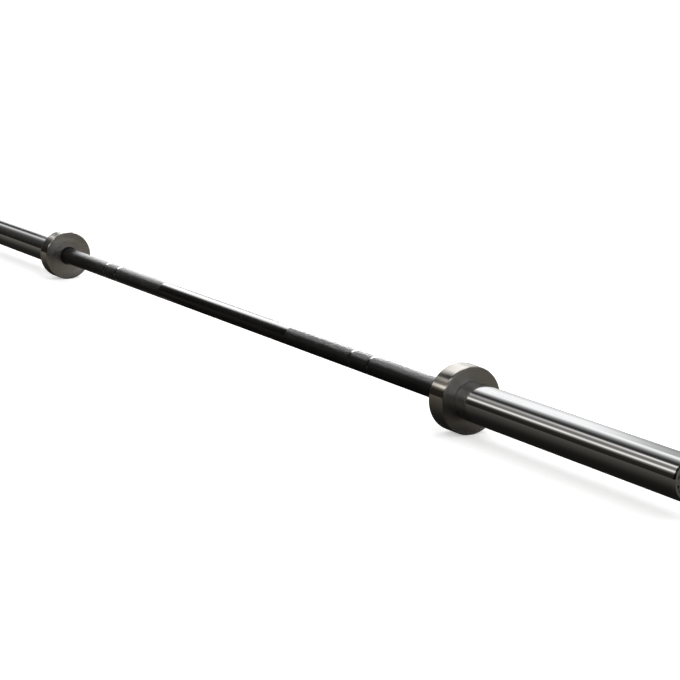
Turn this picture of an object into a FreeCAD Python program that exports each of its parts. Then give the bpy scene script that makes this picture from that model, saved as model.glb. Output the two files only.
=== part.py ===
import FreeCAD, Part
import math
import os
import Sketcher

# Olympic barbell. The bar lies along X with its middle at the origin, and +Z is up.
# Every turned piece is drawn as half a section, distance along the bar against radius,
# for the right-hand end. The left-hand end is the same piece turned half round about Z.

sizes = {
    # shaft
    "grip_length": 1310,
    "grip_diameter": 28,
    "smooth_length": 440,
    "knurl_rise": 0.15,
    "knurl_land": 3,
    "inner_mark_span": 810,
    "outer_mark_span": 910,
    "mark_width": 5,
    "mark_depth": 0.3,
    "journal_diameter": 25,
    "shaft_chamfer": 1.5,
    "shaft_end_gap": 3,
    "centre_hole_diameter": 6,
    "centre_hole_depth": 5,
    # collar
    "collar_diameter": 87,
    "collar_width": 30,
    "collar_web": 7,
    "collar_chamfer": 0.8,
    # sleeve tube
    "sleeve_diameter": 50,
    "load_length": 415,
    "sleeve_chamfer": 2,
    "relief_width": 2,
    "relief_depth": 0.5,
    "bearing_diameter": 33,
    "tube_bore": 32,
    # dust seal
    "seal_inset": 0.5,
    "seal_width": 4,
    "seal_lip": 1.2,
    "seal_hollow": 1,
    "seal_back_gap": 0.5,
    # washers and bushings
    "washer_thickness": 2,
    "inner_bushing_length": 30,
    "outer_bushing_length": 20,
    "outer_bushing_diameter": 36,
    # needle bearings
    "race_length": 20,
    "race_wall": 1.5,
    "race_rib": 1,
    "race_rib_gap": 0.6,
    "bearing_gap": 2,
    "cage_wall": 1,
    "cage_rim": 1.2,
    "roller_count": 14,
    # snap ring on the shaft
    "shaft_ring_thickness": 1.2,
    "shaft_ring_height": 2.8,
    "shaft_ring_land": 3,
    "shaft_groove_depth": 0.55,
    # end cap and its snap ring
    "cap_diameter": 40,
    "cap_thickness": 5,
    "cap_dish_diameter": 26,
    "cap_dish_depth": 1,
    "cap_dish_slope": 1.5,
    "cap_ring_thickness": 1.5,
    "cap_ring_height": 3.2,
    "cap_ring_edge": 2.5,
    "cap_groove_depth": 0.9,
    # snap ring ends
    "ring_opening": 34,
    "lug_diameter": 5,
    "lug_hole_diameter": 2,
    # clearances
    "seat_gap": 0.02,
    "running_gap": 0.05,
    "roller_gap": 0.03,
    "end_float": 0.2,
    "washer_gap": 0.1,
    "washer_side_gap": 0.3,
    "cage_gap": 0.1,
    "ring_side_gap": 0.05,
}

doc = FreeCAD.newDocument("olympic_barbell")
sheet = doc.addObject("Spreadsheet::Sheet", "Sizes")
for row, (alias, number) in enumerate(sizes.items(), start=1):
    sheet.set(f"A{row}", alias)
    sheet.set(f"B{row}", str(number))
    sheet.setAlias(f"B{row}", alias)
doc.recompute()


class Size:
    """A length with the formula that gives it from the sheet."""

    def __init__(self, value, text):
        self.value = value
        self.text = text

    def join(self, other, sign, value):
        text = other.text if isinstance(other, Size) else str(other)
        return Size(value, f"({self.text} {sign} {text})")

    def __add__(self, other):
        return self.join(other, "+", self.value + plain(other))

    def __sub__(self, other):
        return self.join(other, "-", self.value - plain(other))

    def __mul__(self, other):
        return self.join(other, "*", self.value * plain(other))

    def __truediv__(self, other):
        return self.join(other, "/", self.value / plain(other))


def plain(amount):
    return amount.value if isinstance(amount, Size) else amount


def size(alias):
    return Size(float(sheet.get(alias)), f"Sizes.{alias}")


def cosine(angle):
    return Size(math.cos(math.radians(angle.value)), f"cos({angle.text})")


def sine(angle):
    return Size(math.sin(math.radians(angle.value)), f"sin({angle.text})")


on_axis = Size(0, "0")
seat_gap = size("seat_gap")
running_gap = size("running_gap")

# radii
grip_radius = size("grip_diameter") / 2
journal_radius = size("journal_diameter") / 2
sleeve_radius = size("sleeve_diameter") / 2
bearing_radius = size("bearing_diameter") / 2
thrust_radius = size("outer_bushing_diameter") / 2
cap_radius = size("cap_diameter") / 2
race_radius = bearing_radius - seat_gap - size("race_wall")
roller_radius = (race_radius - journal_radius) / 2 - size("roller_gap")
pitch_radius = (race_radius + journal_radius) / 2
shaft_groove_radius = journal_radius - size("shaft_groove_depth")
cap_groove_radius = cap_radius + size("cap_groove_depth")
washer_radius = bearing_radius - size("washer_side_gap")

# places along the bar, from its middle out to the collar end
collar_face = size("grip_length") / 2
collar_back = collar_face + size("collar_width")
tube_start = collar_face + size("collar_web")
seal_start = collar_face + size("seal_inset")
seal_end = seal_start + size("seal_width")
shoulder = seal_end + size("seal_back_gap")
inner_bushing_start = shoulder + size("washer_thickness") + size("end_float")
inner_bushing_end = inner_bushing_start + size("inner_bushing_length")
inner_race_start = inner_bushing_end + size("bearing_gap")
inner_race_end = inner_race_start + size("race_length")

# and from the sleeve's end back inwards
sleeve_end = collar_back + size("load_length")
cap_groove_end = sleeve_end - size("cap_ring_edge")
cap_face = cap_groove_end - size("cap_ring_thickness") - size("ring_side_gap") * 2
cap_back = cap_face - size("cap_thickness")
shaft_end = cap_back - size("shaft_end_gap")
shaft_groove_end = shaft_end - size("shaft_ring_land")
shaft_groove_start = shaft_groove_end - size("shaft_ring_thickness") - size("ring_side_gap") * 2
outer_washer_start = shaft_groove_start - size("washer_thickness")
outer_bushing_end = outer_washer_start - size("end_float")
outer_bushing_start = outer_bushing_end - size("outer_bushing_length")
outer_race_end = outer_bushing_start - size("bearing_gap")
outer_race_start = outer_race_end - size("race_length")

sub_parts = []
half_turn = FreeCAD.Placement(FreeCAD.Vector(), FreeCAD.Rotation(FreeCAD.Vector(0, 0, 1), 180))


def new_body(label, side="right"):
    body = doc.addObject("PartDesign::Body", label)
    body.Label = label
    if side == "left":
        body.Placement = half_turn
    sub_parts.append(body)
    return body


def origin_feature(body, role):
    return next(item for item in body.Origin.OriginFeatures if item.Role == role)


def new_sketch(body, name, role, offset=None):
    sketch = body.newObject("Sketcher::SketchObject", f"{body.Name}_{name}")
    sketch.AttachmentSupport = [(origin_feature(body, role), "")]
    sketch.MapMode = "FlatFace"
    if offset is not None:
        sketch.AttachmentOffset = FreeCAD.Placement(FreeCAD.Vector(0, 0, offset.value), FreeCAD.Rotation())
        sketch.setExpression("AttachmentOffset.Base.z", offset.text)
    return sketch


def bind(sketch, constraint, amount):
    index = sketch.addConstraint(constraint)
    sketch.setExpression(f"Constraints[{index}]", amount.text)


def fix_point(sketch, geometry, point, across, up):
    for kind, axis, amount in (("DistanceX", -2, across), ("DistanceY", -1, up)):
        if amount.text == "0":
            sketch.addConstraint(Sketcher.Constraint("PointOnObject", geometry, point, axis))
        else:
            bind(sketch, Sketcher.Constraint(kind, -1, 1, geometry, point, amount.value), amount)


def draw_polygon(sketch, points):
    corners = [FreeCAD.Vector(across.value, up.value, 0) for across, up in points]
    for start, end in zip(corners, corners[1:] + corners[:1]):
        sketch.addGeometry(Part.LineSegment(start, end), False)
    for index in range(len(points)):
        following = (index + 1) % len(points)
        sketch.addConstraint(Sketcher.Constraint("Coincident", index, 2, following, 1))
    for index, (across, up) in enumerate(points):
        fix_point(sketch, index, 1, across, up)


def draw_circle(sketch, across, up, radius):
    centre = FreeCAD.Vector(across.value, up.value, 0)
    index = sketch.addGeometry(Part.Circle(centre, FreeCAD.Vector(0, 0, 1), radius.value), False)
    bind(sketch, Sketcher.Constraint("Radius", index, radius.value), radius)
    fix_point(sketch, index, 3, across, up)


def turn(body, points, opening=None):
    """Turn a half section about the bar's axis, all the way or with an opening of some degrees."""
    sketch = new_sketch(body, "section", "XY_Plane")
    draw_polygon(sketch, points)
    turned = body.newObject("PartDesign::Revolution", f"{body.Name}_turned")
    turned.Profile = sketch
    turned.ReferenceAxis = (sketch, ["H_Axis"])
    turned.Midplane = True
    turned.Angle = 360
    if opening is not None:
        turned.setExpression("Angle", f"360 - {opening.text}")
    return turned


def around(body, feature, count):
    """Repeat a feature evenly round the bar's axis."""
    pattern = body.newObject("PartDesign::PolarPattern", f"{body.Name}_pattern")
    pattern.Originals = [feature]
    pattern.Axis = (origin_feature(body, "X_Axis"), [""])
    pattern.Angle = 360
    pattern.setExpression("Occurrences", count.text)
    body.Tip = pattern
    return pattern


def block(start, end, inside, outside):
    return [(start, inside), (start, outside), (end, outside), (end, inside)]


def make_shaft():
    body = new_body("shaft")
    crest = grip_radius + size("knurl_rise")
    mark_floor = grip_radius - size("mark_depth")
    smooth_end = size("smooth_length") / 2
    knurl_end = collar_face - size("knurl_land")
    chamfer = size("shaft_chamfer")
    points = [(on_axis, on_axis), (on_axis, grip_radius), (smooth_end, grip_radius), (smooth_end, crest)]
    for span in ("inner_mark_span", "outer_mark_span"):
        mark_start = size(span) / 2 - size("mark_width") / 2
        mark_end = size(span) / 2 + size("mark_width") / 2
        points += [(mark_start, crest), (mark_start, mark_floor), (mark_end, mark_floor), (mark_end, crest)]
    points += [
        (knurl_end, crest),
        (knurl_end, grip_radius),
        (shoulder, grip_radius),
        (shoulder, journal_radius),
        (shaft_groove_start, journal_radius),
        (shaft_groove_start, shaft_groove_radius),
        (shaft_groove_end, shaft_groove_radius),
        (shaft_groove_end, journal_radius),
        (shaft_end - chamfer, journal_radius),
        (shaft_end, journal_radius - chamfer),
        (shaft_end, size("centre_hole_diameter") / 2),
        (shaft_end - size("centre_hole_depth"), on_axis),
    ]
    half = turn(body, points)
    mirrored = body.newObject("PartDesign::Mirrored", "shaft_both_halves")
    mirrored.Originals = [half]
    mirrored.MirrorPlane = (origin_feature(body, "YZ_Plane"), [""])
    body.Tip = mirrored


def make_collar(side):
    chamfer = size("collar_chamfer")
    rim = size("collar_diameter") / 2
    socket = sleeve_radius + seat_gap
    turn(new_body(f"{side}_collar", side), [
        (collar_face, bearing_radius),
        (collar_face, rim - chamfer),
        (collar_face + chamfer, rim),
        (collar_back - chamfer, rim),
        (collar_back, rim - chamfer),
        (collar_back, socket),
        (tube_start, socket),
        (tube_start, bearing_radius),
    ])


def make_sleeve_tube(side):
    """The bore steps out towards the end; a grinding relief lies just under the collar's outer face."""
    chamfer = size("sleeve_chamfer")
    bore = size("tube_bore") / 2
    relief = sleeve_radius - size("relief_depth")
    relief_start = collar_back - size("relief_width")
    turn(new_body(f"{side}_sleeve_tube", side), [
        (tube_start, bearing_radius),
        (tube_start, sleeve_radius),
        (relief_start, sleeve_radius),
        (relief_start, relief),
        (collar_back, relief),
        (collar_back, sleeve_radius),
        (sleeve_end - chamfer, sleeve_radius),
        (sleeve_end, sleeve_radius - chamfer),
        (sleeve_end, cap_radius),
        (cap_groove_end, cap_radius),
        (cap_groove_end, cap_groove_radius),
        (cap_face, cap_groove_radius),
        (cap_face, cap_radius),
        (cap_back, cap_radius),
        (cap_back, thrust_radius),
        (outer_bushing_start, thrust_radius),
        (outer_bushing_start, bearing_radius),
        (outer_race_start, bearing_radius),
        (outer_race_start, bore),
        (inner_race_end, bore),
        (inner_race_end, bearing_radius),
    ])


def make_dust_seal(side):
    lip = grip_radius + running_gap
    lip_end = seal_start + size("seal_lip")
    outside = bearing_radius - seat_gap
    turn(new_body(f"{side}_dust_seal", side), [
        (seal_start, lip),
        (seal_start, outside),
        (seal_end, outside),
        (seal_end, lip + size("seal_hollow")),
        (lip_end, lip + size("seal_hollow")),
        (lip_end, lip),
    ])


def make_thrust_washers(side):
    inside = journal_radius + size("washer_gap")
    for name, start in (("inner", shoulder), ("outer", outer_washer_start)):
        section = block(start, start + size("washer_thickness"), inside, washer_radius)
        turn(new_body(f"{side}_{name}_thrust_washer", side), section)


def make_bushings(side):
    inside = journal_radius + running_gap
    inner = block(inner_bushing_start, inner_bushing_end, inside, bearing_radius - seat_gap)
    turn(new_body(f"{side}_inner_bushing", side), inner)
    outer = block(outer_bushing_start, outer_bushing_end, inside, thrust_radius - seat_gap)
    turn(new_body(f"{side}_outer_bushing", side), outer)


def make_needle_bearing(side, name, start):
    """An outer race with a rib at each end, a cage with a window for each roller, and the rollers."""
    end = start + size("race_length")
    rib = journal_radius + size("race_rib_gap")
    cage_start = start + size("race_rib") + size("cage_gap")
    cage_end = end - size("race_rib") - size("cage_gap")
    window_start = cage_start + size("cage_rim")
    window_end = cage_end - size("cage_rim")
    count = size("roller_count")

    turn(new_body(f"{side}_{name}_needle_race", side), [
        (start, rib),
        (start, bearing_radius - seat_gap),
        (end, bearing_radius - seat_gap),
        (end, rib),
        (end - size("race_rib"), rib),
        (end - size("race_rib"), race_radius),
        (start + size("race_rib"), race_radius),
        (start + size("race_rib"), rib),
    ])

    cage = new_body(f"{side}_{name}_needle_cage", side)
    cage_inside = pitch_radius - size("cage_wall") / 2
    cage_outside = pitch_radius + size("cage_wall") / 2
    ring = turn(cage, block(cage_start, cage_end, cage_inside, cage_outside))
    doc.recompute()
    half_window = roller_radius + size("cage_gap")
    window = new_sketch(cage, "window", "XZ_Plane")
    draw_polygon(window, block(window_start, window_end, half_window * -1, half_window))
    cut = cage.newObject("PartDesign::Pocket", f"{cage.Name}_windows")
    cut.Profile = window
    cut.setExpression("Length", (cage_outside + size("cage_wall")).text)
    doc.recompute()
    if not 0 < cut.Shape.Volume < ring.Shape.Volume:
        raise RuntimeError(f"no window cut in {cage.Label}")
    around(cage, cut, count)

    rollers = new_body(f"{side}_{name}_needle_rollers", side)
    rollers.AllowCompound = True
    roller_start = window_start + size("cage_gap")
    outline = new_sketch(rollers, "outline", "YZ_Plane", roller_start)
    draw_circle(outline, pitch_radius, on_axis, roller_radius)
    roller = rollers.newObject("PartDesign::Pad", f"{rollers.Name}_one")
    roller.Profile = outline
    roller.setExpression("Length", (window_end - size("cage_gap") - roller_start).text)
    around(rollers, roller, count)


def make_snap_ring(label, side, start, thickness, inside, outside, lug_ring):
    """An open ring with a drilled lug at each end for the pliers."""
    body = new_body(label, side)
    opening = size("ring_opening")
    turn(body, block(start, start + thickness, inside, outside), opening)
    lug_radius = size("lug_diameter") / 2
    angle = opening / 2
    places = [(lug_ring * cosine(angle) * -1, lug_ring * sine(angle) * way) for way in (1, -1)]
    doc.recompute()
    for name, kind, radius in (
        ("lugs", "PartDesign::Pad", lug_radius),
        ("holes", "PartDesign::Pocket", size("lug_hole_diameter") / 2),
    ):
        sketch = new_sketch(body, name, "YZ_Plane", start)
        for across, up in places:
            draw_circle(sketch, across, up, radius)
        feature = body.newObject(kind, f"{body.Name}_{name}")
        feature.Profile = sketch
        feature.Reversed = kind == "PartDesign::Pocket"
        feature.setExpression("Length", thickness.text)
        before = body.Shape.Volume
        doc.recompute()
        grew = body.Shape.Volume > before
        if body.Shape.Volume == before or grew != (name == "lugs"):
            raise RuntimeError(f"{name} of {label} missed the ring")


def make_snap_rings(side):
    side_gap = size("ring_side_gap")
    inside = shaft_groove_radius + seat_gap
    outside = inside + size("shaft_ring_height")
    make_snap_ring(
        f"{side}_shaft_snap_ring", side, shaft_groove_start + side_gap,
        size("shaft_ring_thickness"), inside, outside, inside + size("lug_diameter") / 2)
    outside = cap_groove_radius - seat_gap
    inside = outside - size("cap_ring_height")
    make_snap_ring(
        f"{side}_cap_snap_ring", side, cap_face + side_gap,
        size("cap_ring_thickness"), inside, outside, outside - size("lug_diameter") / 2)


def make_end_cap(side):
    dish = size("cap_dish_diameter") / 2
    floor = cap_face - size("cap_dish_depth")
    outside = cap_radius - seat_gap
    turn(new_body(f"{side}_end_cap", side), [
        (cap_back, on_axis),
        (cap_back, outside),
        (cap_face, outside),
        (cap_face, dish),
        (floor, dish - size("cap_dish_slope")),
        (floor, on_axis),
    ])


make_shaft()
for side in ("left", "right"):
    make_collar(side)
    make_sleeve_tube(side)
    make_dust_seal(side)
    make_thrust_washers(side)
    make_bushings(side)
    make_needle_bearing(side, "inner", inner_race_start)
    make_needle_bearing(side, "outer", outer_race_start)
    make_snap_rings(side)
    make_end_cap(side)
doc.recompute()

for item in doc.Objects:
    if "Invalid" in item.State or "Error" in item.State:
        raise RuntimeError(f"{item.Label} failed: {item.State}")
for part in sub_parts:
    if part.Shape.isNull() or not part.Shape.isValid():
        raise RuntimeError(f"{part.Label} has no valid shape")

os.makedirs("parts", exist_ok=True)
for part in sub_parts:
    part.Shape.exportStep(os.path.join("parts", f"{part.Label}.step"))
    box = part.Shape.BoundBox
    print(f"{part.Label}: {len(part.Shape.Solids)} solids, {part.Shape.Volume:.1f} mm3,"
          f" x {box.XMin:.2f} to {box.XMax:.2f}, radius {box.ZMax:.2f}")
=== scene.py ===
import math

import bmesh
import bpy
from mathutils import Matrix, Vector


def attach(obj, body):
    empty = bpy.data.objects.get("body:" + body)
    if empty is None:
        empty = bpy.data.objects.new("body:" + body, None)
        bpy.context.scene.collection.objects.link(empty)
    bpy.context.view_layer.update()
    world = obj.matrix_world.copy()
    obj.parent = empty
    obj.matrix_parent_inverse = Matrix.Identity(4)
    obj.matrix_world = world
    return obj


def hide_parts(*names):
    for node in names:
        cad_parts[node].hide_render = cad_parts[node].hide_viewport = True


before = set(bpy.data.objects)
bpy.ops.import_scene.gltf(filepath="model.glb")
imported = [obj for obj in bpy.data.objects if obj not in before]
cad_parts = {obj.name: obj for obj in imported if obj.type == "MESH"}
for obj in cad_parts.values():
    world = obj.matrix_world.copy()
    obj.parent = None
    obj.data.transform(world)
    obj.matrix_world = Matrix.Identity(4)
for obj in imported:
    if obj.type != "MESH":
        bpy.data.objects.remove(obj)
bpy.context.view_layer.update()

mm = 0.001
sides = {"left": -1, "right": 1}  # the bar lies along X


class Wire:  # one socket of a node tree, and sums on it add Math nodes
    def __init__(self, tree, socket=None):
        self.tree = tree
        self.socket = socket

    def node(self, kind, settings=None, inputs=None, out=0):
        made = self.tree.nodes.new(kind)
        for name, value in (settings or {}).items():
            if name == "stops":
                setStops(made.color_ramp, value)
            else:
                setattr(made, name, value)
        for name, value in (inputs or {}).items():
            self.feed(made.inputs[name], value)
        return Wire(self.tree, made.outputs[out])

    def feed(self, socket, value):
        if isinstance(value, Wire):
            self.tree.links.new(value.socket, socket)
        else:
            socket.default_value = value

    def maths(self, operation, *others):
        return self.node("ShaderNodeMath", {"operation": operation}, dict(enumerate((self, *others))))

    def __add__(self, other):
        return self.maths("ADD", other)

    __radd__ = __add__

    def __sub__(self, other):
        return self.maths("SUBTRACT", other)

    def __rsub__(self, other):
        return self.node("ShaderNodeMath", {"operation": "SUBTRACT"}, {0: other, 1: self})

    def __mul__(self, other):
        return self.maths("MULTIPLY", other)

    __rmul__ = __mul__

    def __truediv__(self, other):
        return self.maths("DIVIDE", other)

    def __mod__(self, other):
        return self.maths("MODULO", other)

    def __gt__(self, other):
        return self.maths("GREATER_THAN", other)

    def __lt__(self, other):
        return self.maths("LESS_THAN", other)

    def split(self):
        first = self.node("ShaderNodeSeparateXYZ", {}, {0: self})
        return [Wire(self.tree, socket) for socket in first.socket.node.outputs]

    def between(self, low, high):  # 0 at low to 1 at high, eased
        settings = {"interpolation_type": "SMOOTHSTEP"}
        return self.node("ShaderNodeMapRange", settings, {"Value": self, "From Min": low, "From Max": high})


def setStops(ramp, stops):
    while len(ramp.elements) > 1:
        ramp.elements.remove(ramp.elements[-1])
    ramp.elements[0].position = stops[0][0]
    for position, _ in stops[1:]:
        ramp.elements.new(position)
    for element, (_, level) in zip(ramp.elements, stops):
        element.color = (level, level, level, 1) if isinstance(level, (int, float)) else (*level, 1)


class Finish:  # a material with its Principled shader, and the places that its patterns read
    def __init__(self, name, **fixed):
        self.material = bpy.data.materials.new(name)
        self.material.use_nodes = True
        tree = self.material.node_tree
        self.shader = tree.nodes["Principled BSDF"]
        self.wire = Wire(tree)
        for socket, value in fixed.items():
            self.shader.inputs[socket.replace("_", " ")].default_value = value
        self.place = self.wire.node("ShaderNodeTexCoord", out="Object")
        self.along, self.across, self.up = self.place.split()
        self.radius = (self.across * self.across + self.up * self.up).maths("SQRT")

    def set(self, socket, value):
        self.wire.feed(self.shader.inputs[socket], value)

    def noise(self, scale, detail, stretch=None):
        place = self.place
        if stretch:
            place = self.wire.node("ShaderNodeMapping", {}, {"Vector": place, "Scale": stretch})
        return self.wire.node("ShaderNodeTexNoise", {}, {"Vector": place, "Scale": scale, "Detail": detail})

    def turned(self, pitch, detail):  # lines that a lathe leaves, round the bar and round a face
        inputs = {"W": self.along + self.radius, "Scale": 1 / pitch, "Detail": detail}
        return self.wire.node("ShaderNodeTexNoise", {"noise_dimensions": "1D"}, inputs)

    def blend(self, factor, first, second):
        inputs = {0: factor, 6: (*first, 1), 7: (*second, 1)}  # a Mix node's sockets for colours
        return self.wire.node("ShaderNodeMix", {"data_type": "RGBA"}, inputs, out=2)

    def bump(self, height, strength, depth):
        inputs = {"Strength": strength, "Distance": depth, "Height": height}
        self.set("Normal", self.wire.node("ShaderNodeBump", {}, inputs))


sleeveFinish = {
    "bright": (0.64, 0.645, 0.65),
    "dull": (0.58, 0.585, 0.59),
    "gloss": 0.05,
    "scuffed": 0.09,
    "scuffs": {"scale": 30, "detail": 4, "stretch": (0.25, 6, 6)},  # long marks from plates sliding on
    "scuffEdge": (0.5, 0.72),
    "lines": {"pitch": 0.5 * mm, "detail": 2},
    "lineRough": 0.02,
    "bump": {"strength": 0.05, "depth": 0.02 * mm},
}


def sleeveChrome():
    look = sleeveFinish
    finish = Finish("sleeveChrome", Metallic=1)
    scuffs = finish.noise(**look["scuffs"]).between(*look["scuffEdge"])
    lines = finish.turned(**look["lines"])
    finish.set("Base Color", finish.blend(scuffs, look["bright"], look["dull"]))
    rough = look["gloss"] + scuffs * (look["scuffed"] - look["gloss"])
    finish.set("Roughness", rough + lines * look["lineRough"])
    finish.bump(lines, **look["bump"])
    return finish.material


collarFinish = {
    "rim": (0.63, 0.605, 0.56),
    "face": (0.59, 0.57, 0.545),
    "faceMargin": 0.1 * mm,
    "rimRough": 0.035,
    "gripRough": 0.2,
    "loadRough": 0.24,  # the plates rub this side duller
    "lines": {"pitch": 0.35 * mm, "detail": 3},
    "lineRough": 0.02,
    "rimLines": 0.02,  # share of the lines' depth that is left on the polished rim
    "bump": {"strength": 1, "depth": 0.13 * mm},
    "smudges": {"scale": 60, "detail": 3},
    "smudgeEdge": (0.45, 0.7),
    "smudgeRough": 0.02,
}


def collarSteel(faceEdge, middle):  # the middle parts the grip's side from the plates' side
    look = collarFinish
    finish = Finish("collarSteel", Metallic=1)
    lines = finish.turned(**look["lines"])
    smudges = finish.noise(**look["smudges"]).between(*look["smudgeEdge"])
    face = finish.radius < faceEdge - look["faceMargin"]
    load = finish.along.maths("ABSOLUTE") > middle
    finish.set("Base Color", finish.blend(face, look["rim"], look["face"]))
    faceRough = look["gripRough"] + load * (look["loadRough"] - look["gripRough"])
    rough = look["rimRough"] + face * (faceRough - look["rimRough"])
    finish.set("Roughness", rough + lines * look["lineRough"] + smudges * look["smudgeRough"])
    share = look["rimLines"] + face * (1 - look["rimLines"])
    finish.bump(lines * share, **look["bump"])
    return finish.material


blackFinish = {
    "black": (0.003, 0.003, 0.003),
    "worn": (0.005, 0.0048, 0.0045),
    "shine": 0.25,
    "gloss": 0.17,
    "wornRough": 0.06,
    "handling": {"scale": 18, "detail": 4, "stretch": (0.5, 2, 2)},
    "handledEdge": (0.45, 0.75),
    "lines": {"pitch": 0.4 * mm, "detail": 2},
    "bump": {"strength": 0.04, "depth": 0.02 * mm},
    "ringGloss": 0.08,  # the ring marks are polished
    "ringMargin": 0.04 * mm,
}


def smoothBlack(ringFloor):
    look = blackFinish
    finish = Finish("smoothBlack", Metallic=0, Specular_IOR_Level=look["shine"])
    finish.set("Coat Roughness", look["ringGloss"])
    handled = finish.noise(**look["handling"]).between(*look["handledEdge"])
    finish.set("Base Color", finish.blend(handled, look["black"], look["worn"]))
    finish.set("Roughness", look["gloss"] + handled * look["wornRough"])
    finish.set("Coat Weight", finish.radius < ringFloor + look["ringMargin"])
    finish.bump(finish.turned(**look["lines"]), **look["bump"])
    return finish.material


knurlFinish = {
    "black": (0.003, 0.003, 0.003),
    "crest": (0.010, 0.0097, 0.0093),
    "shine": 0.2,
    "rough": 0.3,
    "wornGloss": 0.08,
    "handling": {"scale": 25, "detail": 4},
    "handledEdge": (0.35, 0.7),
}


def knurlBlack(root, crest):
    look = knurlFinish
    finish = Finish("knurlBlack", Metallic=0, Specular_IOR_Level=look["shine"])
    high = finish.radius.between(root, crest)
    wear = high * high * finish.noise(**look["handling"]).between(*look["handledEdge"])  # points wear first
    finish.set("Base Color", finish.blend(wear, look["black"], look["crest"]))
    finish.set("Roughness", look["rough"] - wear * look["wornGloss"])
    return finish.material


capFinish = {
    "bright": (0.62, 0.605, 0.585),
    "dull": (0.54, 0.525, 0.505),
    "rough": 0.2,
    "lines": {"pitch": 0.3 * mm, "detail": 3},
    "lineRough": 0.1,
    "bump": {"strength": 0.12, "depth": 0.03 * mm},
}


def capChrome():
    look = capFinish
    finish = Finish("capChrome", Metallic=1)
    lines = finish.turned(**look["lines"])
    finish.set("Base Color", finish.blend(lines, look["bright"], look["dull"]))
    finish.set("Roughness", look["rough"] + lines * look["lineRough"])
    finish.bump(lines, **look["bump"])
    return finish.material


sealFinish = {
    "dark": (0.007, 0.007, 0.007),
    "light": (0.016, 0.016, 0.016),
    "grain": {"scale": 2600, "detail": 2},
    "rough": 0.5,
    "grainRough": 0.2,
    "bump": {"strength": 0.2, "depth": 0.03 * mm},
}


def sealRubber():
    look = sealFinish
    finish = Finish("sealRubber", Metallic=0)
    grain = finish.noise(**look["grain"])
    finish.set("Base Color", finish.blend(grain, look["dark"], look["light"]))
    finish.set("Roughness", look["rough"] + grain * look["grainRough"])
    finish.bump(grain, **look["bump"])
    return finish.material


# pieces inside the sleeves keep their CAD shape; each metal has two tones and lines of its own pitch
innerFinishes = {
    "bronze": {
        "light": (0.6, 0.36, 0.16), "dark": (0.42, 0.24, 0.1), "rough": 0.28, "pitch": 0.4 * mm,
    },
    "bearing_steel": {
        "light": (0.6, 0.6, 0.61), "dark": (0.5, 0.5, 0.51), "rough": 0.16, "pitch": 0.3 * mm,
    },
    "cage_steel": {
        "light": (0.44, 0.43, 0.42), "dark": (0.34, 0.33, 0.32), "rough": 0.34, "pitch": 0.5 * mm,
    },
    "spring_steel": {
        "light": (0.1, 0.095, 0.09), "dark": (0.05, 0.048, 0.046), "rough": 0.4, "pitch": 0.6 * mm,
    },
}
innerGrain = {
    "spots": {"scale": 350, "detail": 3},
    "lineDetail": 2,
    "lineRough": 0.1,
    "bump": {"strength": 0.1, "depth": 0.02 * mm},
}


def innerMetal(name):
    look = innerFinishes[name]
    finish = Finish(name.replace("_s", "S") + "Finish", Metallic=1)
    lines = finish.turned(look["pitch"], innerGrain["lineDetail"])
    spots = finish.noise(**innerGrain["spots"])
    finish.set("Base Color", finish.blend(spots, look["light"], look["dark"]))
    finish.set("Roughness", look["rough"] + lines * innerGrain["lineRough"])
    finish.bump(lines, **innerGrain["bump"])
    return finish.material


turning = {
    "cornerSteps": 5,
    "flatMargin": 0.15 * mm,  # an extra ring beside each rounded corner keeps the flats flat
    "onAxis": 1e-7,  # below this radius a ring is a single point
    "sharpFrom": math.radians(35),
}


def roundCorners(section):
    # section is a loop of (distance along the bar, radius, corner radius)
    steps = turning["cornerSteps"]
    margin = turning["flatMargin"]
    points = []
    for index, (along, radius, corner) in enumerate(section):
        here = Vector((along, radius))
        if corner == 0:
            points.append(here)
            continue
        before = (Vector(section[index - 1][:2]) - here).normalized()
        after = (Vector(section[(index + 1) % len(section)][:2]) - here).normalized()
        half = before.angle(after) / 2
        tangent = corner / math.tan(half)
        centre = here + (before + after).normalized() * (corner / math.sin(half))
        first = here + before * tangent - centre
        last = here + after * tangent - centre
        sweep = first.angle(last)
        points.append(here + before * (tangent + margin))
        for step in range(steps + 1):
            share = step / steps
            spoke = first * math.sin((1 - share) * sweep) + last * math.sin(share * sweep)
            points.append(centre + spoke / math.sin(sweep))
        points.append(here + after * (tangent + margin))
    return points


def newPiece(name, mesh, finish):
    if not mesh.materials:
        mesh.materials.append(finish)
    piece = bpy.data.objects.new(name, mesh)
    bpy.context.scene.collection.objects.link(piece)
    return piece


def lathe(name, section, way, around, finish, loop=True):
    # turns a section about X; way is -1 for the left end, and an open section starts and ends on the axis
    form = bmesh.new()
    rings = []
    for along, radius in roundCorners(section):
        count = around if radius > turning["onAxis"] else 1
        angles = [2 * math.pi * turn / around for turn in range(count)]
        circle = [(radius * math.cos(angle), radius * math.sin(angle)) for angle in angles]
        rings.append([form.verts.new((way * along, *spot)) for spot in circle])
    pairs = list(zip(rings, rings[1:])) + ([(rings[-1], rings[0])] if loop else [])
    for first, second in pairs:
        for turn in range(around):
            corners = [
                first[turn % len(first)],
                first[(turn + 1) % len(first)],
                second[(turn + 1) % len(second)],
                second[turn % len(second)],
            ]
            form.faces.new(list(dict.fromkeys(corners)))
    bmesh.ops.recalc_face_normals(form, faces=form.faces)
    mesh = bpy.data.meshes.new(name)
    form.to_mesh(mesh)
    form.free()
    mesh.shade_smooth()
    mesh.set_sharp_from_angle(angle=turning["sharpFrom"])
    return newPiece(name, mesh, finish)


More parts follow.
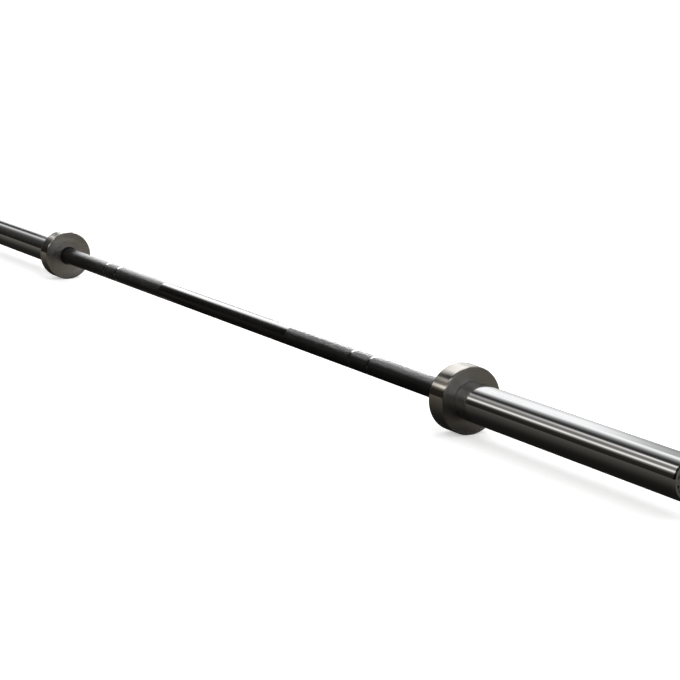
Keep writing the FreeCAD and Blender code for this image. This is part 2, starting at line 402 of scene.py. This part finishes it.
shaft = {
    "grip": 14.0 * mm,
    "core": 13.8 * mm,  # under the knurl
    "smoothEnd": 220 * mm,
    "marks": (405 * mm, 455 * mm),
    "markWidth": 5 * mm,
    "markFloor": 13.9 * mm,
    "knurlEnd": 652 * mm,
    "shoulder": 660 * mm,
    "journal": 12.5 * mm,
    "grooveStart": 1083.6 * mm,
    "grooveEnd": 1084.9 * mm,
    "grooveFloor": 11.95 * mm,
    "end": 1087.9 * mm,
    "chamfer": 1.5 * mm,
    "centreHole": 3 * mm,
    "centreDepth": 5 * mm,
    "edge": 0.1 * mm,
    "around": 160,
}


def knurlZones():
    half = shaft["markWidth"] / 2
    starts = [shaft["smoothEnd"]] + [mark + half for mark in shaft["marks"]]
    ends = [mark - half for mark in shaft["marks"]] + [shaft["knurlEnd"]]
    return list(zip(starts, ends))


def makeShaft(finish):
    edge = shaft["edge"]
    half = [(shaft["smoothEnd"], shaft["grip"], edge)]
    for index, (start, end) in enumerate(knurlZones()):
        half += [(start, shaft["core"], 0), (end, shaft["core"], 0)]
        if index < len(shaft["marks"]):
            half += [(end, shaft["markFloor"], 0), (end + shaft["markWidth"], shaft["markFloor"], 0)]
    half += [
        (shaft["knurlEnd"], shaft["grip"], edge),
        (shaft["shoulder"], shaft["grip"], edge),
        (shaft["shoulder"], shaft["journal"], 0),
        (shaft["grooveStart"], shaft["journal"], 0),
        (shaft["grooveStart"], shaft["grooveFloor"], 0),
        (shaft["grooveEnd"], shaft["grooveFloor"], 0),
        (shaft["grooveEnd"], shaft["journal"], 0),
        (shaft["end"] - shaft["chamfer"], shaft["journal"], edge),
        (shaft["end"], shaft["journal"] - shaft["chamfer"], edge),
        (shaft["end"], shaft["centreHole"], 0),
        (shaft["end"] - shaft["centreDepth"], 0, 0),
    ]
    other = [(-along, radius, corner) for along, radius, corner in reversed(half)]
    piece = lathe("shaft_core", other + half, 1, shaft["around"], finish, loop=False)
    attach(piece, "shaft")
    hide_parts("shaft")


knurl = {
    "around": 128,  # two columns to a diamond
    "rowPitch": 1.2 * mm,  # two rows to a diamond
    "root": 13.96 * mm,
    "crest": 14.1 * mm,
    "seat": 13.6 * mm,  # the inside wall, hidden in the core
    "weld": 0.001 * mm,  # points closer than this become one
}


def knurlTree():
    # a grid wrapped round the bar: every second point is a crest, apart from the rows at the band's ends
    # row 0 and the last two rows lie on the seat and close the band through the core
    tree = bpy.data.node_groups.new("knurlZone", "GeometryNodeTree")
    kinds = {"Start": "Float", "End": "Float", "Rows": "Int", "Around": "Int"}
    kinds |= {"Root": "Float", "Crest": "Float", "Seat": "Float", "Finish": "Material"}
    for name, kind in kinds.items():
        tree.interface.new_socket(name, in_out="INPUT", socket_type="NodeSocket" + kind)
    tree.interface.new_socket("Knurl", in_out="OUTPUT", socket_type="NodeSocketGeometry")
    entry = tree.nodes.new("NodeGroupInput")
    given = {name: Wire(tree, entry.outputs[name]) for name in kinds}
    rows = given["Rows"]
    around = given["Around"]
    wire = Wire(tree)
    sizes = {"Size X": 1, "Size Y": 1, "Vertices X": around + 1, "Vertices Y": rows + 3}
    grid = wire.node("GeometryNodeMeshGrid", {}, sizes)
    across, up, _ = wire.node("GeometryNodeInputPosition").split()
    column = ((across + 0.5) * around).maths("ROUND")
    row = ((up + 0.5) * (rows + 2)).maths("ROUND")
    outside = (row > 0.5) * (row < rows + 0.5)
    crests = (row > 1.5) * (row < rows - 0.5) * ((column + row) % 2)
    rise = outside * (given["Root"] - given["Seat"]) + crests * (given["Crest"] - given["Root"])
    radius = given["Seat"] + rise
    step = ((row - 1) / (rows - 1)).maths("MINIMUM", 1).maths("MAXIMUM", 0) * (row < rows + 1.5)
    along = given["Start"] + step * (given["End"] - given["Start"])
    angle = column / around * (2 * math.pi)
    wrapped = {"X": along, "Y": radius * angle.maths("COSINE"), "Z": radius * angle.maths("SINE")}
    place = wire.node("ShaderNodeCombineXYZ", {}, wrapped)
    moved = wire.node("GeometryNodeSetPosition", {}, {"Geometry": grid, "Position": place})
    closed = wire.node("GeometryNodeMergeByDistance", {}, {"Geometry": moved, "Distance": knurl["weld"]})
    facets = wire.node("GeometryNodeTriangulate", {"quad_method": "SHORTEST_DIAGONAL"}, {"Mesh": closed})
    flat = wire.node("GeometryNodeSetShadeSmooth", {}, {"Geometry": facets, "Shade Smooth": False})
    real = wire.node("GeometryNodeRealizeInstances", {}, {"Geometry": flat})
    done = wire.node("GeometryNodeSetMaterial", {}, {"Geometry": real, "Material": given["Finish"]})
    leave = tree.nodes.new("NodeGroupOutput")
    wire.feed(leave.inputs["Knurl"], done)
    return tree


def grow(tree, values):  # runs a tree with these inputs and gives back its mesh
    carrier = newPiece("carrier", bpy.data.meshes.new("carrier"), None)
    modifier = carrier.modifiers.new("tree", "NODES")
    modifier.node_group = tree
    for item in tree.interface.items_tree:
        if item.in_out == "INPUT":
            modifier[item.identifier] = values[item.name]
    evaluated = carrier.evaluated_get(bpy.context.evaluated_depsgraph_get())
    mesh = bpy.data.meshes.new_from_object(evaluated)
    bpy.data.objects.remove(carrier)
    return mesh


def makeKnurl(finish):
    tree = knurlTree()
    for side, way in sides.items():
        form = bmesh.new()
        for start, end in knurlZones():
            rows = round((end - start) / knurl["rowPitch"]) + 1
            values = {"Start": way * start, "End": way * end, "Rows": rows, "Around": knurl["around"]}
            values |= {"Root": knurl["root"], "Crest": knurl["crest"], "Seat": knurl["seat"]}
            zone = grow(tree, values | {"Finish": finish})
            form.from_mesh(zone)
            bpy.data.meshes.remove(zone)
        bmesh.ops.recalc_face_normals(form, faces=form.faces)
        mesh = bpy.data.meshes.new(f"{side}_knurl")
        form.to_mesh(mesh)
        form.free()
        piece = newPiece(f"{side}_knurl", mesh, finish)
        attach(piece, "shaft")
        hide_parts("shaft")
        print(f"{piece.name}: {len(mesh.polygons)} faces")


collar = {
    "face": 655 * mm,
    "back": 685 * mm,
    "rim": 43.5 * mm,
    "chamfer": 0.8 * mm,
    "edge": 0.2 * mm,
    "bore": 16.5 * mm,
    "boreEdge": 0.15 * mm,
    "socket": 25.02 * mm,
    "socketStart": 662 * mm,
    "around": 224,
}


def makeCollars(finish):
    face, back, rim, chamfer, edge = (collar[name] for name in ("face", "back", "rim", "chamfer", "edge"))
    section = [
        (face, collar["bore"], collar["boreEdge"]),
        (face, rim - chamfer, edge),
        (face + chamfer, rim, edge),
        (back - chamfer, rim, edge),
        (back, rim - chamfer, edge),
        (back, collar["socket"], 0),
        (collar["socketStart"], collar["socket"], 0),
        (collar["socketStart"], collar["bore"], 0),
    ]
    for side, way in sides.items():
        piece = lathe(f"{side}_collar_ring", section, way, collar["around"], finish)
        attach(piece, f"{side}_sleeve")
        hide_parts(f"{side}_collar")


tube = {
    "start": collar["socketStart"],
    "end": 1100 * mm,
    "outside": 25 * mm,
    "chamfer": 2 * mm,
    "edge": 0.3 * mm,
    "relief": (683 * mm, collar["back"], 24.5 * mm),
    "seat": 16.5 * mm,
    "bore": 16 * mm,
    "boreRun": (714.2 * mm, 1039.4 * mm),
    "thrust": 18 * mm,
    "thrustRun": (1061.4 * mm, 1090.9 * mm),
    "capBore": 20 * mm,
    "capEdge": 0.2 * mm,
    "capGroove": (1095.9 * mm, 1097.5 * mm, 20.9 * mm),
    "around": 224,
}


def makeTubes(finish):
    outside, chamfer, edge, end = (tube[name] for name in ("outside", "chamfer", "edge", "end"))
    reliefStart, reliefEnd, relief = tube["relief"]
    grooveStart, grooveEnd, groove = tube["capGroove"]
    section = [
        (tube["start"], tube["seat"], 0),
        (tube["start"], outside, 0),
        (reliefStart, outside, 0),
        (reliefStart, relief, 0),
        (reliefEnd, relief, 0),
        (reliefEnd, outside, 0),
        (end - chamfer, outside, edge),
        (end, outside - chamfer, edge),
        (end, tube["capBore"], tube["capEdge"]),
        (grooveEnd, tube["capBore"], 0),
        (grooveEnd, groove, 0),
        (grooveStart, groove, 0),
        (grooveStart, tube["capBore"], 0),
        (tube["thrustRun"][1], tube["capBore"], 0),
        (tube["thrustRun"][1], tube["thrust"], 0),
        (tube["thrustRun"][0], tube["thrust"], 0),
        (tube["thrustRun"][0], tube["seat"], 0),
        (tube["boreRun"][1], tube["seat"], 0),
        (tube["boreRun"][1], tube["bore"], 0),
        (tube["boreRun"][0], tube["bore"], 0),
        (tube["boreRun"][0], tube["seat"], 0),
    ]
    for side, way in sides.items():
        piece = lathe(f"{side}_loading_sleeve", section, way, tube["around"], finish)
        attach(piece, f"{side}_sleeve")
        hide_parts(f"{side}_sleeve_tube")


seal = {
    "start": 655.5 * mm,
    "end": 659.5 * mm,
    "lip": 14.05 * mm,
    "lipEnd": 656.7 * mm,
    "hollow": 15.05 * mm,
    "outside": 16.48 * mm,
    "soft": 0.4 * mm,
    "lipEdge": 0.2 * mm,
    "around": 160,
}


def makeSeals(finish):
    section = [
        (seal["start"], seal["lip"], seal["soft"]),
        (seal["start"], seal["outside"], seal["soft"]),
        (seal["end"], seal["outside"], 0),
        (seal["end"], seal["hollow"], 0),
        (seal["lipEnd"], seal["hollow"], 0),
        (seal["lipEnd"], seal["lip"], seal["lipEdge"]),
    ]
    for side, way in sides.items():
        piece = lathe(f"{side}_seal_ring", section, way, seal["around"], finish)
        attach(piece, f"{side}_sleeve")
        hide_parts(f"{side}_dust_seal")


cap = {
    "back": tube["thrustRun"][1],
    "face": tube["capGroove"][0],
    "outside": 19.98 * mm,
    "dish": 13 * mm,
    "dishDepth": 1 * mm,
    "dishSlope": 1.5 * mm,
    "edge": 0.3 * mm,
    "around": 160,
}


def makeCaps(finish):
    dishFloor = cap["face"] - cap["dishDepth"]
    section = [
        (cap["back"], 0, 0),
        (cap["back"], cap["outside"], 0),
        (cap["face"], cap["outside"], cap["edge"]),
        (cap["face"], cap["dish"], cap["edge"]),
        (dishFloor, cap["dish"] - cap["dishSlope"], cap["edge"]),
        (dishFloor, 0, 0),
    ]
    for side, way in sides.items():
        piece = lathe(f"{side}_cap_disc", section, way, cap["around"], finish, loop=False)
        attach(piece, f"{side}_sleeve")
        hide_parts(f"{side}_end_cap")


def finishInnerPieces():
    finishes = {name: innerMetal(name) for name in innerFinishes}
    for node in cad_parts.values():
        for place in node.material_slots:
            name = place.material.name.split(".")[0] if place.material else ""
            if name in finishes:
                place.material = finishes[name]


floor = {
    "height": -collar["rim"],  # the collars' rims stand on it
    "reach": 60,
    "colour": (0.93, 0.93, 0.925, 1),
    "rough": 0.9,
    "fill": 0.45,
}


def stagePiece(name, points, faces, material):
    mesh = bpy.data.meshes.new(name)
    mesh.from_pydata(points, [], faces)
    piece = newPiece(name, mesh, material)
    return piece


def flatSheet(name, reach, wide, height, material):
    corners = [(-reach, -wide), (reach, -wide), (reach, wide), (-reach, wide)]
    return stagePiece(name, [(*corner, height) for corner in corners], [(0, 1, 2, 3)], material)


def seenRays(wire):  # 1 for what the camera sees straight, in metal or through glass
    paths = wire.node("ShaderNodeLightPath").socket.node.outputs
    kinds = ("Camera", "Glossy", "Transmission")
    straight, mirrored, through = (Wire(wire.tree, paths[f"Is {kind} Ray"]) for kind in kinds)
    return (straight + mirrored + through).maths("MINIMUM", 1)


def makeFloor():
    finish = Finish("paleFloor", Roughness=floor["rough"], Specular_IOR_Level=0, Emission_Strength=1)
    finish.set("Base Color", floor["colour"])
    finish.set("Emission Color", seenRays(finish.wire) * floor["fill"])
    flatSheet("floor", floor["reach"], floor["reach"], floor["height"], finish.material)


def glowMaterial(name, pattern):
    made = bpy.data.materials.new(name)
    made.use_nodes = True
    tree = made.node_tree
    tree.nodes.clear()
    wire = Wire(tree)
    place = wire.node("ShaderNodeTexCoord", out="Object").split()
    shader = wire.node("ShaderNodeEmission", {}, pattern(wire, *place))
    wire.feed(tree.nodes.new("ShaderNodeOutputMaterial").inputs["Surface"], shader)
    return made


def onlyInReflections(piece):
    piece.visible_camera = False
    piece.visible_diffuse = False
    piece.visible_shadow = False
    piece.visible_volume_scatter = False


halfTurn = 180  # degrees
tent = {
    "radius": 2.0,
    "reach": 9.0,
    "steps": 96,
    "start": -1.4,  # degrees, so that both edges reach just under the floor
    "white": 1.5,  # a ramp holds 0 to 1, so levels are shares of this
    # angle over the bar in degrees, from the front floor over the top to the back, and the brightness there
    "near": (
        (0, 0.018), (20, 0.03), (26, 0.22), (28, 0.3), (31.5, 1.2), (37, 1.2), (41, 0.3),
        (50, 0.22), (54, 0.46), (61, 0.54), (66, 0.14), (70, 0.04), (86, 0.05), (97, 0.15),
        (104, 0.32), (110, 0.62), (117, 1.15), (123, 1.42), (159, 1.35), (167, 1.15), (173, 0.95),
    ),
    "far": (  # the same further left, for the shaft and the left sleeve
        (0, 0.018), (15, 0.018), (44, 0.05), (56, 0.07), (62, 0.11), (68, 0.17), (74, 0.29),
        (80, 0.6), (85, 0.88), (90, 0.8), (95, 0.38), (100, 0.1), (104, 0.03), (111, 0.035),
        (117, 0.13), (124, 0.52), (131, 1.1), (139, 1.45),
    ),
    "farRun": (-2.09, -2.272),  # metres along the tent over which near turns into far
    "rampRun": (-6.0, 0.0),  # the stretch that the next ramps span
    # distance along the tent in metres, and by how many degrees the white leans to the front there
    "lean": ((-2.162, 22), (-1.925, 18), (-1.468, 14)),
    "leanMost": 22,
    "leanFrom": (70, 85),
    # black steel needs brighter light than chrome does: two banks, each with its strength along the tent
    # and the angles where it starts and ends there
    "shaftBank": {
        "strength": (
            (-5.355, 0), (-5.281, 8.5), (-4.485, 8.5), (-4.211, 6.8), (-3.754, 7.5),
            (-3.297, 9.5), (-3.023, 8.5), (-2.748, 5.5), (-2.337, 5.5), (-2.246, 0),
        ),
        "start": ((-4.485, 86), (-4.211, 77), (-2.652, 77), (-2.467, 92)),
        "end": ((-4.485, 155), (-4.211, 131), (-3.023, 131), (-2.748, 180)),
    },
    "crownBank": {
        "strength": ((-3.041, 0), (-2.693, 26), (-2.337, 26), (-2.246, 0)),
        "start": ((-3.114, 124), (-2.246, 124)),
        "end": ((-3.114, 180), (-2.246, 180)),
    },
    "bankMost": {"strength": 30, "start": halfTurn, "end": halfTurn},  # as white is for the levels
    "bankRise": 24,
    "bankFade": 10,
    # angle, and the colour of the light there
    "tint": (
        (0, (1, 0.9, 0.76)), (24, (1, 0.93, 0.82)), (32, (1, 0.97, 0.935)),
        (62, (1, 0.97, 0.935)), (72, (1, 1, 1)),
    ),
    "greyRun": (-1.513, -1.056),  # towards the right sleeve's end the white turns grey
    "greyEdge": (126, 134),
    "grey": 0.6,
    "lineRun": (-1.9, -1.1),  # and a second bright line comes up beside the first
    "lineStart": (54, 59),
    "lineEnd": (61, 66),
    "line": 0.75,
    "darkStart": (1.8, 2.5),  # a stretch past the bar's right end is dark, for the right collar's face
    "darkEnd": (4.6, 5.6),
    "dark": 0.95,
}


def tentPattern(wire, along, across, up):
    start, end = tent["rampRun"]
    share = (along - start) / (end - start)
    angle = up.maths("ARCTAN2", across * -1).maths("DEGREES")

    def byPlace(stops, most):
        stops = [((place - start) / (end - start), level / most) for place, level in stops]
        return wire.node("ShaderNodeValToRGB", {"stops": stops}, {"Fac": share}) * most

    def byAngle(stops, turn):
        stops = [(place / halfTurn, level / tent["white"]) for place, level in stops]
        return wire.node("ShaderNodeValToRGB", {"stops": stops}, {"Fac": turn / halfTurn}) * tent["white"]

    def bank(stops):
        most = tent["bankMost"]
        strength, first, last = (byPlace(stops[part], most[part]) for part in most)
        rise = (angle - first).between(0, tent["bankRise"])
        return strength * (rise - (angle - last).between(0, tent["bankFade"]))

    leaning = angle + byPlace(tent["lean"], tent["leanMost"]) * angle.between(*tent["leanFrom"])
    far = along.between(*tent["farRun"])
    shade = byAngle(tent["near"], leaning) * (1 - far) + byAngle(tent["far"], angle) * far
    grey = along.between(*tent["greyRun"]) * leaning.between(*tent["greyEdge"])
    shade = shade * (1 - grey * tent["grey"])
    line = angle.between(*tent["lineStart"]) - angle.between(*tent["lineEnd"])
    shade = shade + along.between(*tent["lineRun"]) * line * tent["line"]
    dark = along.between(*tent["darkStart"]) - along.between(*tent["darkEnd"])
    shade = shade * (1 - dark * tent["dark"])
    tints = [(place / halfTurn, colour) for place, colour in tent["tint"]]
    colour = wire.node("ShaderNodeValToRGB", {"stops": tints}, {"Fac": angle / halfTurn})
    return {"Color": colour, "Strength": shade + bank(tent["shaftBank"]) + bank(tent["crownBank"])}


def makeTent():  # long strips of light and dark, parallel to the bar, which only the metal sees
    reach = tent["reach"]
    points = []
    for step in range(tent["steps"] + 1):
        turn = tent["start"] + (halfTurn - 2 * tent["start"]) * step / tent["steps"]
        across = -tent["radius"] * math.cos(math.radians(turn))
        up = tent["radius"] * math.sin(math.radians(turn))
        points += [(-reach, across, up), (reach, across, up)]
    faces = [(2 * step, 2 * step + 1, 2 * step + 3, 2 * step + 2) for step in range(tent["steps"])]
    onlyInReflections(stagePiece("tent", points, faces, glowMaterial("tentGlow", tentPattern)))


# the floor as the metal mirrors it, painted on a glowing sheet: painted shade, the bar's painted shadow and
# painted lighter patches
paintedFloorReflection = {
    "aboveFloor": 0.2 * mm,
    # distance from the bar in mm, and how bright the mirrored floor is there, with the bar's shadow painted
    # in
    "shades": (
        (20, 0.011), (37, 0.013), (55, 0.021), (78, 0.039), (113, 0.059), (200, 0.079), (310, 0.093),
    ),
    "shadeReach": 400,
    "lift": 0.6,  # brighter towards the left
    "liftRun": (0.4, -1.2),
    # painted lighter patches behind the bar, which the collars' faces mirror: where each starts and ends
    # along the bar, where it starts across it, and by how much it is lighter
    "patches": (
        {"start": (-0.65, -0.63), "end": (-0.3, -0.2), "edge": (-0.03, -0.01), "lift": 0.12},
        {"start": (0.6, 0.75), "end": (3, 4), "edge": (0, 0.03), "lift": 0.07},
    ),
    "warm": (1.0, 0.93, 0.81),
}


# painted reflection of the floor: darkest next to the bar, where the bar's shadow is painted, and brighter
# towards the left
def paintedFloorReflectionPattern(wire, along, across, up):
    clear = across.maths("ABSOLUTE") / (paintedFloorReflection["shadeReach"] * mm)
    stops = [(distance / paintedFloorReflection["shadeReach"], level) for distance, level in paintedFloorReflection["shades"]]
    shade = wire.node("ShaderNodeValToRGB", {"stops": stops}, {"Fac": clear})
    shade = shade * (1 + along.between(*paintedFloorReflection["liftRun"]) * paintedFloorReflection["lift"])
    for patch in paintedFloorReflection["patches"]:
        inside = along.between(*patch["start"]) - along.between(*patch["end"])
        shade = shade + inside * across.between(*patch["edge"]) * patch["lift"]
    return {"Color": (*paintedFloorReflection["warm"], 1), "Strength": shade}


def makePaintedFloorReflection():  # a sheet of painted floor reflection just above the floor, which only the metal sees
    height = floor["height"] + paintedFloorReflection["aboveFloor"]
    glow = glowMaterial("paintedFloorReflectionGlow", paintedFloorReflectionPattern)
    onlyInReflections(flatSheet("paintedFloorReflectionSheet", tent["reach"], tent["radius"], height, glow))


backdrop = {"daylight": 0.88}


def makeWorld():
    world = bpy.data.worlds.new("studio")
    world.use_nodes = True
    tree = world.node_tree
    wire = Wire(tree)
    background = tree.nodes["Background"]
    background.inputs["Color"].default_value = (1, 1, 1, 1)
    strength = backdrop["daylight"] + seenRays(wire) * (1 - backdrop["daylight"])
    wire.feed(background.inputs["Strength"], strength)
    bpy.context.scene.world = world


lamp = {"place": (0.3, 1.6, 2.6), "aim": (0, 0, 0), "size": (3.2, 1.4), "power": 30}


def makeLamp():
    light = bpy.data.lights.new("softbox", "AREA")
    light.shape = "RECTANGLE"
    light.size, light.size_y = lamp["size"]
    light.energy = lamp["power"]
    holder = bpy.data.objects.new("softbox", light)
    holder.location = lamp["place"]
    way = Vector(lamp["aim"]) - Vector(lamp["place"])
    holder.rotation_euler = way.to_track_quat("-Z", "Y").to_euler()
    holder.visible_glossy = False
    bpy.context.scene.collection.objects.link(holder)


camera = {
    "place": (2.5349, -1.24255, 0.52743),
    "forward": (-0.8511, 0.4859, -0.1987),
    "lens": 97.94,
    "sensor": 36,
}


def makeCamera():
    data = bpy.data.cameras.new("camera")
    data.lens = camera["lens"]
    data.sensor_width = camera["sensor"]
    holder = bpy.data.objects.new("camera", data)
    holder.location = camera["place"]
    holder.rotation_euler = Vector(camera["forward"]).to_track_quat("-Z", "Y").to_euler()
    bpy.context.scene.collection.objects.link(holder)
    bpy.context.scene.camera = holder


makeShaft(smoothBlack(shaft["markFloor"]))
makeKnurl(knurlBlack(knurl["root"], knurl["crest"]))
print("shaft made")
makeCollars(collarSteel(collar["rim"] - collar["chamfer"], (collar["face"] + collar["back"]) / 2))
makeTubes(sleeveChrome())
makeSeals(sealRubber())
makeCaps(capChrome())
print("sleeves made")
finishInnerPieces()
makeFloor()
makeTent()
makePaintedFloorReflection()
makeWorld()
makeLamp()
makeCamera()
bpy.context.scene.view_settings.view_transform = "Standard"
print("studio made")
